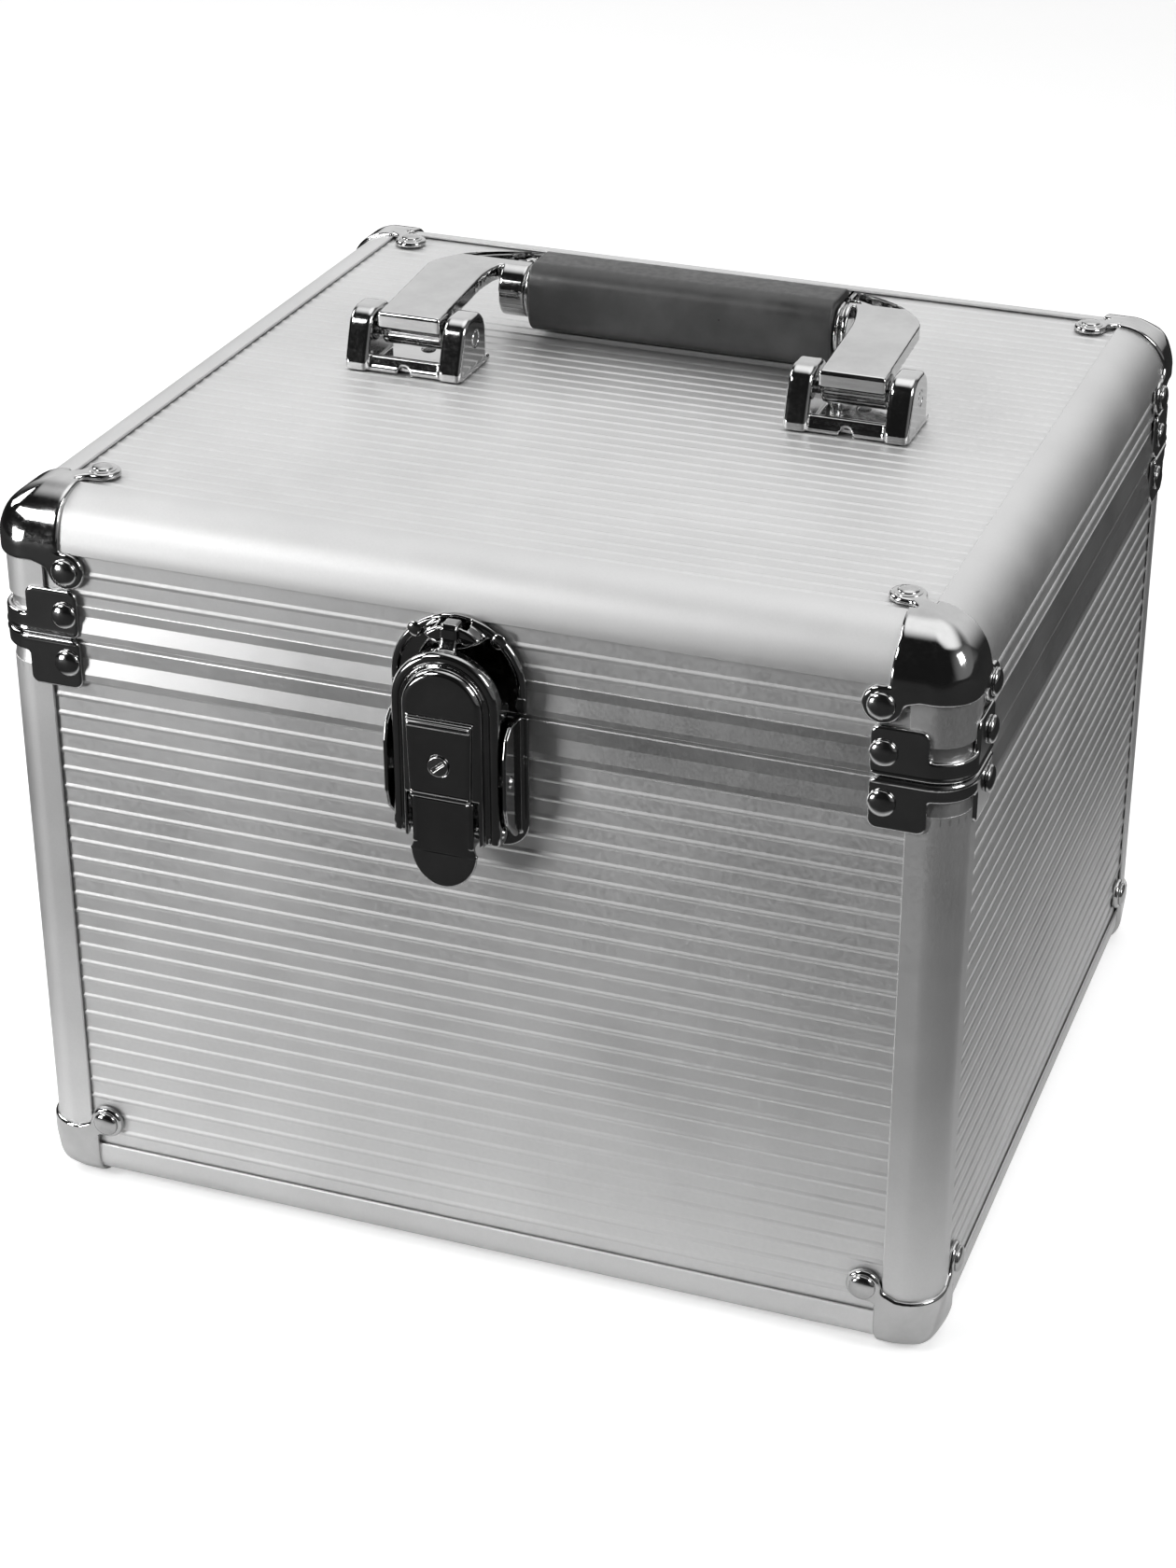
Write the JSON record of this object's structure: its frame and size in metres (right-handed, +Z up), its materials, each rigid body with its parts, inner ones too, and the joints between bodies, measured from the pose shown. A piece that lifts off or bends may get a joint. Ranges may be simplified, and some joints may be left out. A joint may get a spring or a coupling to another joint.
{
  "type": "hard drive case",
  "caption": "Box-shaped aluminium case with a hinged lid, ball corners, a front toggle latch and a folding top handle, with a foam insert for upright hard drives.",
  "frame": {"origin": "on the floor under the middle of the case, which is also the middle of its bounding box's underside", "axes": "+Z up, +X to the right as seen from the latch side, -Y to the front where the latch is"},
  "size_m": [0.286, 0.2952, 0.2486],
  "materials": {
    "panel_aluminium": "ribbed, satin",
    "profile_aluminium": "satin",
    "rim_aluminium": "satin",
    "corner_chrome": "bright",
    "rivet_chrome": "bright",
    "latch_chrome": "bright",
    "handle_chrome": "bright",
    "hinge_steel": "brushed",
    "pin_steel": "turned",
    "lock_steel": "turned",
    "grip_rubber": "matt",
    "foam": "matt, open-celled"
  },
  "bodies": {
    "case_base": {"base_front_panel": "panel_aluminium", "base_back_panel": "panel_aluminium", "base_left_panel": "panel_aluminium", "base_right_panel": "panel_aluminium", "base_bottom_panel": "panel_aluminium", "base_corner_profile_front_left": "profile_aluminium", "base_corner_profile_front_right": "profile_aluminium", "base_corner_profile_back_left": "profile_aluminium", "base_corner_profile_back_right": "profile_aluminium", "base_bottom_profile_front": "profile_aluminium", "base_bottom_profile_back": "profile_aluminium", "base_bottom_profile_left": "profile_aluminium", "base_bottom_profile_right": "profile_aluminium", "base_rim_frame": "rim_aluminium", "base_ball_corner_front_left": "corner_chrome", "base_ball_corner_front_right": "corner_chrome", "base_ball_corner_back_left": "corner_chrome", "base_ball_corner_back_right": "corner_chrome", "base_seam_brackets": "corner_chrome", "base_rivets": "rivet_chrome", "latch_base_plate": "latch_chrome", "latch_pivot_pin": "pin_steel", "hinge_base_leaf_left": "hinge_steel", "hinge_base_leaf_right": "hinge_steel", "hinge_pins": "pin_steel", "foam_block": "foam", "foam_floor_pad": "foam"},
    "lid": {"lid_top_panel": "panel_aluminium", "lid_front_panel": "panel_aluminium", "lid_back_panel": "panel_aluminium", "lid_left_panel": "panel_aluminium", "lid_right_panel": "panel_aluminium", "lid_edge_profile_front": "profile_aluminium", "lid_edge_profile_back": "profile_aluminium", "lid_edge_profile_left": "profile_aluminium", "lid_edge_profile_right": "profile_aluminium", "lid_rim_frame": "rim_aluminium", "lid_ball_corner_front_left": "corner_chrome", "lid_ball_corner_front_right": "corner_chrome", "lid_ball_corner_back_left": "corner_chrome", "lid_ball_corner_back_right": "corner_chrome", "lid_corner_profiles": "profile_aluminium", "lid_seam_brackets": "corner_chrome", "lid_rivets": "rivet_chrome", "lid_foam_pad": "foam", "latch_striker": "latch_chrome", "hinge_lid_leaf_left": "hinge_steel", "hinge_lid_leaf_right": "hinge_steel", "handle_bracket_left": "handle_chrome", "handle_bracket_right": "handle_chrome", "handle_pins": "pin_steel"},
    "handle": {"handle_arm_left": "handle_chrome", "handle_arm_right": "handle_chrome", "handle_grip": "grip_rubber", "handle_rod": "pin_steel"},
    "latch_lever": {"latch_lever": "latch_chrome"},
    "latch_loop": {"latch_loop": "latch_chrome", "latch_loop_pin": "pin_steel"},
    "key_plug": {"latch_key_plug": "lock_steel", "latch_lock_cam": "lock_steel"}
  },
  "joints": [
    {"name": "lid_hinge", "type": "hinge", "parent": "case_base", "child": "lid", "pos_m": [0, 0.1352, 0.1845], "axis": [-1, 0, 0], "range_deg": [0, 100]},
    {"name": "handle_fold", "type": "hinge", "parent": "lid", "child": "handle", "pos_m": [0, 0.005, 0.235], "axis": [1, 0, 0], "range_deg": [0, 90]},
    {"name": "latch_lever_swing", "type": "hinge", "parent": "case_base", "child": "latch_lever", "pos_m": [0, -0.1395, 0.168], "axis": [-1, 0, 0], "range_deg": [0, 85]},
    {"name": "latch_loop_swing", "type": "hinge", "parent": "latch_lever", "child": "latch_loop", "pos_m": [0, -0.1395, 0.152], "axis": [-1, 0, 0], "range_deg": [-66, 0]},
    {"name": "key_turn", "type": "hinge", "parent": "latch_loop", "child": "key_plug", "pos_m": [0, -0.143, 0.1734], "axis": [0, 1, 0], "range_deg": [0, 90]}
  ],
  "couplings": [
    {"joint": "latch_loop_swing", "follows": "latch_lever_swing", "ratio": -0.77}
  ]
}
